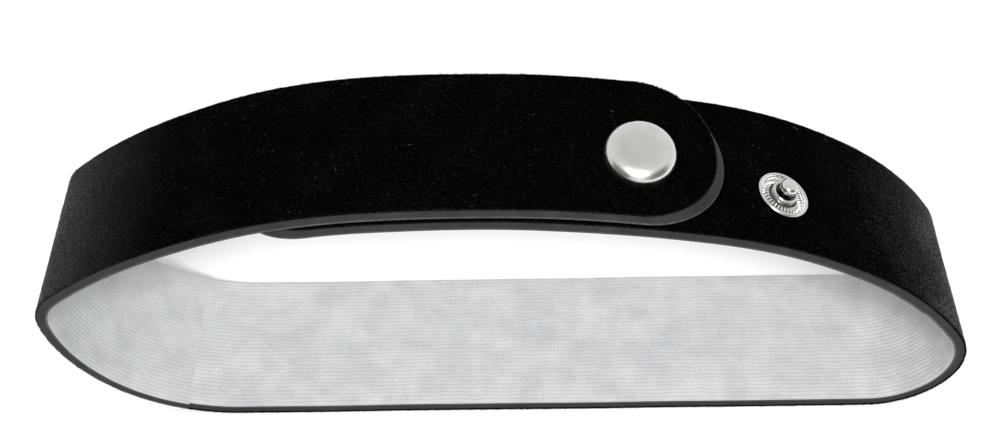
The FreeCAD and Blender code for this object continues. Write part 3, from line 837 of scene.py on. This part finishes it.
def turned(name, section, place, segments, material, body, lift=None, painted_shade=None, closed=False):
    """Shell of revolution from (radius, height) points, in a stud's frame.

    lift(radius, height, angle) moves the points along the axis, and the shade function gives 0 to 1
    for how dark painted shade makes a point's recess.  A closed section makes a ring, an open one is
    on the axis at its ends.
    """
    section = np.array(section)
    radius = np.repeat(section[:, 0], segments)
    height = np.repeat(section[:, 1], segments)
    angle = np.tile(np.arange(segments) * math.tau / segments, len(section))
    shade_amount = np.zeros(len(radius)) if painted_shade is None else painted_shade(radius, height, angle)
    if lift is not None:
        height = height + lift(radius, height, angle)
    local = np.stack([radius * np.cos(angle), radius * np.sin(angle), height], axis=1)
    matrix = np.array(place)
    points = local @ matrix[:3, :3].T + matrix[:3, 3]
    index = np.arange(len(points)).reshape(len(section), segments)
    if closed:
        index = np.vstack([index, index[:1]])
    after = np.roll(index, -1, axis=1)
    quads = np.stack([index[:-1], after[:-1], after[1:], index[1:]], axis=-1).reshape(-1, 4)
    lay = np.stack([radius, height, shade_amount], axis=1)
    piece = make_piece(name, points, quads.tolist(), material, lay=lay, sharp=50.0)
    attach(piece, body)
    return piece


CAP_RADIUS = 3.95
FLUTE_COUNT = 36


def cap_section():
    """Section of the cap: a domed crown, a side that curls under, and the hollow inside."""
    radius, top, brim, low = CAP_RADIUS, LEAF_RISE + 2.5, LEAF_RISE + 0.95, LEAF_RISE + 0.02
    share = np.sin(np.linspace(0, math.pi / 2, 34))
    crown = [(radius * t, brim + (top - brim) * math.sqrt(1 - t**3.8)) for t in share]
    curl = [
        (radius - 0.5 * (1 - math.cos(a)), brim - (brim - low) * math.sin(a))
        for a in np.linspace(0, math.pi / 2, 12)[1:]
    ]
    wall = radius - 0.7
    inside = [(wall, low), (wall + 0.35, brim), (wall, brim + 0.7), (0.6 * wall, top - 0.4)]
    return crown + curl + inside + [(0.0, top - 0.25)]


def cap_wear(radius, height, angle):
    """Faint out-of-flat waves left by the press."""
    share = np.clip(radius / CAP_RADIUS, 0, 1)
    waves = np.cos(2 * angle + 0.7) * share**2 + 0.4 * np.cos(3 * angle + 2.0) * share**3
    return 0.012 * waves


def flange_section():
    """Section of the stud's flange: rolled rim, step down, fluted ring and inner valley."""
    rim = bend((2.86, 0.17), 0.24, -80, 175, 20)
    step = [(2.6, 0.2), (2.54, 0.19), (2.48, 0.24)]
    inner, outer = 1.8, 2.44
    ring = [
        (r, 0.27 + 0.06 * math.sin((r - inner) / (outer - inner) * math.pi))
        for r in np.linspace(outer, inner, 12)
    ]
    valley = [(1.74, 0.2), (1.68, 0.1), (1.6, 0.06), (1.54, 0.05), (1.54, 0.0), (2.6, 0.0)]
    return rim + step + ring + valley


def ring_share(radius):
    """1 on the flange's fluted ring, falling to 0 at its inner and outer edges."""
    return np.clip((radius - 1.72) / 0.1, 0, 1) * np.clip((2.58 - radius) / 0.08, 0, 1)


def flutes(radius, height, angle):
    """Radial flutes pressed into the flange's ring."""
    groove = np.clip(1.25 - 1.7 * np.abs(np.sin(FLUTE_COUNT / 2 * angle)), 0, 1)
    return np.where(height > 0.15, -0.16 * ring_share(radius) * groove, 0.0)


def flange_painted_shade(radius, height, angle):
    """Painted shade: dark in the flutes, between rim and ring, and in the valley round the collar."""
    groove = np.clip(1.2 - 1.8 * np.abs(np.sin(FLUTE_COUNT / 2 * angle)), 0, 1) * ring_share(radius)
    moat = np.clip(1 - np.abs(radius - 2.57) / 0.06, 0, 0.5)
    valley = np.clip((1.78 - radius) / 0.08, 0, 0.7)
    return np.maximum(groove, np.maximum(moat, valley))


def post_painted_shade(radius, height, angle):
    """Painted shade: dark in the collar's rings, at the neck and at the foot."""
    rings = np.where((height < 0.6) & (radius < 1.49), 0.8, 0.0)
    neck = np.clip((1.3 - radius) / 0.15, 0, 1) * (height < 1.16) * (height > 0.69)
    foot = np.clip((0.14 - height) / 0.08, 0, 0.8)
    return np.maximum(rings, np.maximum(neck, foot))


def post_section():
    """Section of the stud's post: ringed collar, narrow neck and ball head."""
    foot = [(0.0, -0.2), (0.9, -0.2), (0.9, 0.02), (1.5, 0.02)]
    collar = [(1.5, 0.12), (1.45, 0.15), (1.45, 0.19), (1.5, 0.22), (1.5, 0.4), (1.46, 0.43)]
    collar += [(1.46, 0.47), (1.5, 0.5), (1.5, 0.66)] + bend((1.37, 0.67), 0.13, 0, 90, 7)
    neck = [(1.18, 0.8), (1.1, 0.74), (0.9, 0.72), (0.8, 0.78), (0.78, 0.95), (0.8, 1.12)]
    head = bend((0.4, 1.5), 0.65, -38, 90, 22)
    crown = [(0.25, 2.155), (0.12, 2.157), (0.0, 2.16)]
    return foot + collar + neck + head + crown


# the cap is bedded in the soft band a little more level than the velvet, and nods to the front
CAP_LEAN, CAP_NOD = math.radians(-5.0), math.radians(12.0)
seat = Matrix.Rotation(CAP_LEAN, 4, "Y") @ Matrix.Rotation(CAP_NOD, 4, "X")
up_to_leaf = Matrix.Translation((0, 0, LEAF_RISE))
cap_place = CLOSURE @ up_to_leaf @ seat @ up_to_leaf.inverted()
cap_shell = turned("cap_shell", cap_section(), cap_place, 128, NICKEL, "flap", lift=cap_wear)
free_flange = turned(
    "free_flange", flange_section(), FREE_STUD, 432, STUD, "band", flutes, flange_painted_shade, True
)
free_post = turned("free_post", post_section(), FREE_STUD, 96, STUD, "band", painted_shade=post_painted_shade)

FINISHES = {
    "closure_stud_flange": BRIGHT,
    "closure_stud_post": BRIGHT,
    "closure_contact_plate": STEEL,
    "free_contact_plate": STEEL,
    "socket": BRIGHT,
    "cap_rivet": NICKEL,
    "spring_leg_front": BRONZE,
    "spring_leg_back": BRONZE,
    "spring_bow_left": BRONZE,
    "spring_bow_right": BRONZE,
}
for node, material in FINISHES.items():
    part = bpy.data.objects[node]
    for slot in part.material_slots:
        slot.material = material

# ---------------------------------------------------------------- bodies, and the model's parts that the pieces replace, hidden

hinge_point, hinge_heading = locate(LEAF, LEAF_HINGE)


def fold_over(piece):
    """Bake the placement of a piece of the upper band into its mesh."""
    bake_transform(piece)


STANDS_FOR = {
    velvet_upper: "leaf_face",
    foam_upper: "leaf_core",
    lining_upper: "leaf_lining",
    velvet_lower: "band_face",
    foam_underlap: "underlap_core",
    foam_back: "band_core",
    lining_underlap: "underlap_lining",
    lining_back: "band_lining",
    cap_shell: "snap_cap",
    free_flange: "free_stud_flange",
    free_post: "free_stud_post",
}
for piece, node in STANDS_FOR.items():
    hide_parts(node)
for piece in (velvet_upper, foam_upper, lining_upper, pile_upper):
    fold_over(piece)
for piece in (velvet_lower, foam_underlap, foam_back, lining_underlap, lining_back):
    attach(piece, "band")


# ---------------------------------------------------------------- studio


def floor():
    """Plain pale floor that the strap stands on."""
    side, level = 3.0, 0.0
    n = Nodes("floor_pale")
    tone = n.ramp(n.noise(n.place(), 0.01), (0.3, 0.91), (0.7, 0.93))
    material = n.finish(tone, Roughness=0.6, Specular_IOR_Level=0.2)
    corners = [(-side, -side, level), (side, -side, level), (side, side, level), (-side, side, level)]
    mesh = bpy.data.meshes.new("floor")
    mesh.from_pydata(corners, [], [(0, 1, 2, 3)])
    mesh.materials.append(material)
    sheet = bpy.data.objects.new("floor", mesh)
    bpy.context.scene.collection.objects.link(sheet)


def lamp(name, place, target, size, power):
    """Rectangular soft lamp, in metres and watts."""
    data = bpy.data.lights.new(name, "AREA")
    data.shape = "RECTANGLE"
    data.size, data.size_y = size
    data.energy = power
    light = bpy.data.objects.new(name, data)
    light.location = place
    light.rotation_euler = (Vector(target) - Vector(place)).to_track_quat("-Z", "Y").to_euler()
    bpy.context.scene.collection.objects.link(light)


def studio_world():
    """White at the horizon and pale grey above, with a dark card on each side of the camera."""
    world = bpy.data.worlds.new("studio")
    world.use_nodes = True
    tree = world.node_tree
    background = tree.nodes["Background"]
    coordinate = tree.nodes.new("ShaderNodeTexCoord")
    parts = tree.nodes.new("ShaderNodeSeparateXYZ")
    ramp = tree.nodes.new("ShaderNodeValToRGB")
    stops = ramp.color_ramp.elements
    stops[0].position, stops[0].color = 0.0, (1.0, 1.0, 1.0, 1.0)
    stops[1].position, stops[1].color = 1.0, (0.62, 0.62, 0.62, 1.0)
    for place, grey in ((0.35, 0.8), (0.75, 0.8), (0.9, 0.72)):
        stop = stops.new(place)
        stop.color = (grey, grey, grey, 1.0)
    tree.links.new(coordinate.outputs["Generated"], parts.inputs[0])
    tree.links.new(parts.outputs["Z"], ramp.inputs["Fac"])
    colour = ramp.outputs["Color"]
    for side in (-1, 1):
        towards = tree.nodes.new("ShaderNodeVectorMath")
        towards.operation = "DOT_PRODUCT"
        towards.inputs[1].default_value = Vector((0.72 * side, -0.62, 0.3)).normalized()
        tree.links.new(coordinate.outputs["Generated"], towards.inputs[0])
        card = tree.nodes.new("ShaderNodeMapRange")
        card.inputs["From Min"].default_value = 0.83
        card.inputs["From Max"].default_value = 0.93
        card.inputs["To Min"].default_value = 1.0
        card.inputs["To Max"].default_value = 0.2
        tree.links.new(towards.outputs["Value"], card.inputs["Value"])
        shade = tree.nodes.new("ShaderNodeVectorMath")
        shade.operation = "SCALE"
        tree.links.new(colour, shade.inputs[0])
        tree.links.new(card.outputs[0], shade.inputs["Scale"])
        colour = shade.outputs[0]
    tree.links.new(colour, background.inputs["Color"])
    background.inputs["Strength"].default_value = 0.95
    bpy.context.scene.world = world


def camera():
    """Camera on the front of the strap, a little over half way up to overhead."""
    elevation, azimuth, roll = math.radians(51.42), math.radians(-0.52), math.radians(-1.21)
    distance, lens = 159.4, 47.35
    target = Vector((-1.26, 3.43, 22.21))
    level = math.cos(elevation)
    forward = Vector((math.sin(azimuth) * level, math.cos(azimuth) * level, -math.sin(elevation)))
    right = Vector((math.cos(azimuth), -math.sin(azimuth), 0))
    up = right.cross(forward)
    tilted_right = math.cos(roll) * right + math.sin(roll) * up
    tilted_up = math.cos(roll) * up - math.sin(roll) * right
    turn = Matrix((tilted_right, tilted_up, -forward)).transposed()
    data = bpy.data.cameras.new("camera")
    data.lens, data.sensor_width = lens, 36.0
    data.clip_start, data.clip_end = 0.01, 20.0
    eye = bpy.data.objects.new("camera", data)
    eye.matrix_world = Matrix.Translation((target - distance * forward) * MM) @ turn.to_4x4()
    bpy.context.scene.collection.objects.link(eye)
    bpy.context.scene.camera = eye


floor()
studio_world()
lamp("softbox", (0.01, -0.34, 0.46), (0, 0, 0.03), (0.17, 0.12), 3.3)
camera()
bpy.context.scene.view_settings.view_transform = "Standard"
